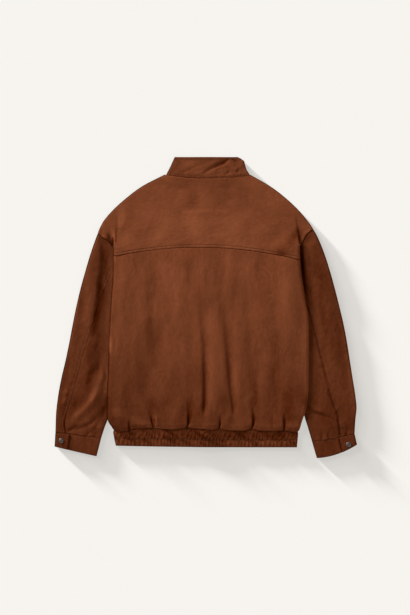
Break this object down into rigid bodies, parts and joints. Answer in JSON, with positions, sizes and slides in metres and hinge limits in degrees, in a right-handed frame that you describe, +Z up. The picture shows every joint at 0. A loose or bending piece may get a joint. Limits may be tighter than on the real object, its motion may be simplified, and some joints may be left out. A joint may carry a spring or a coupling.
{
  "type": "suede jacket",
  "caption": "Suede blouson jacket laid flat face down, back showing, with yoke, stand collar, elastic waistband and lapped cuffs closed by press studs.",
  "frame": {"origin": "middle of the jacket's outline, on the surface that it lies on", "axes": "+X across the jacket, towards the wearer's right sleeve; +Y towards the collar; +Z up from the surface, out of the jacket's back"},
  "size_m": [0.7563, 0.7537, 0.0149],
  "materials": {
    "suede": "matte brushed suede with a short nap",
    "stud_metal": "dark gunmetal plating"
  },
  "bodies": {
    "root": {"yoke": "suede", "back": "suede", "front_left": "suede", "front_right": "suede", "collar": "suede", "waistband": "suede", "sleeve_left_upper": "suede", "sleeve_left_under": "suede", "sleeve_right_upper": "suede", "sleeve_right_under": "suede", "cuff_left": "suede", "cuff_right": "suede", "stud_cuff_left": "stud_metal", "stud_cuff_right": "stud_metal", "stud_front_1": "stud_metal", "stud_front_2": "stud_metal", "stud_front_3": "stud_metal", "stud_front_4": "stud_metal", "stud_front_5": "stud_metal"}
  },
  "joints": []
}
